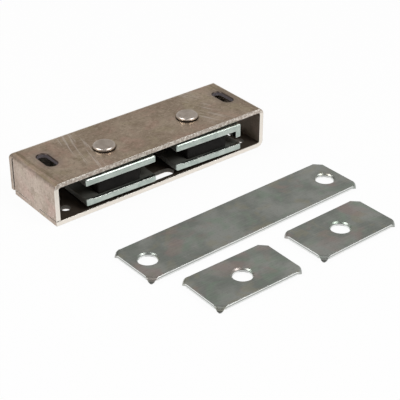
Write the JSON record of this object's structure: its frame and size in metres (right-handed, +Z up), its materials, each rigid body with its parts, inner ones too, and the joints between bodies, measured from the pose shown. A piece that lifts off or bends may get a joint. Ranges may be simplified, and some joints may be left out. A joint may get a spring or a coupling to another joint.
{
  "type": "magnetic catch",
  "caption": "Double magnetic catch: pole plates and block magnets swivelling on rivets in a folded steel case, with long and short steel strike plates laid out in front.",
  "frame": {"origin": "middle of the case's flat base", "axes": "+X along the case, -Y out of its open mouth, +Z up from the base that is screwed down"},
  "size_m": [0.1246, 0.1301, 0.0222],
  "materials": {
    "case_steel": "satin",
    "rivet_steel": "satin",
    "spacer_brass": "satin",
    "ferrite": "matte",
    "pole_steel": "satin",
    "strike_steel": "satin"
  },
  "bodies": {
    "case_and_strikes": {"case": "case_steel", "left_rivet": "rivet_steel", "right_rivet": "rivet_steel", "left_lower_spacer": "spacer_brass", "left_upper_spacer": "spacer_brass", "right_lower_spacer": "spacer_brass", "right_upper_spacer": "spacer_brass", "long_strike": "strike_steel", "left_short_strike": "strike_steel", "right_short_strike": "strike_steel"},
    "left_unit": {"left_magnet": "ferrite", "left_upper_pole": "pole_steel", "left_lower_pole": "pole_steel"},
    "right_unit": {"right_magnet": "ferrite", "right_upper_pole": "pole_steel", "right_lower_pole": "pole_steel"}
  },
  "joints": [
    {"name": "left_swivel", "type": "hinge", "parent": "case_and_strikes", "child": "left_unit", "pos_m": [-0.02275, -0.004, 0.01027], "axis": [0, 0, 1], "range_deg": [-4.5, 7.5]},
    {"name": "right_swivel", "type": "hinge", "parent": "case_and_strikes", "child": "right_unit", "pos_m": [0.02405, -0.004, 0.01027], "axis": [0, 0, 1], "range_deg": [-3.5, 8.5]}
  ]
}
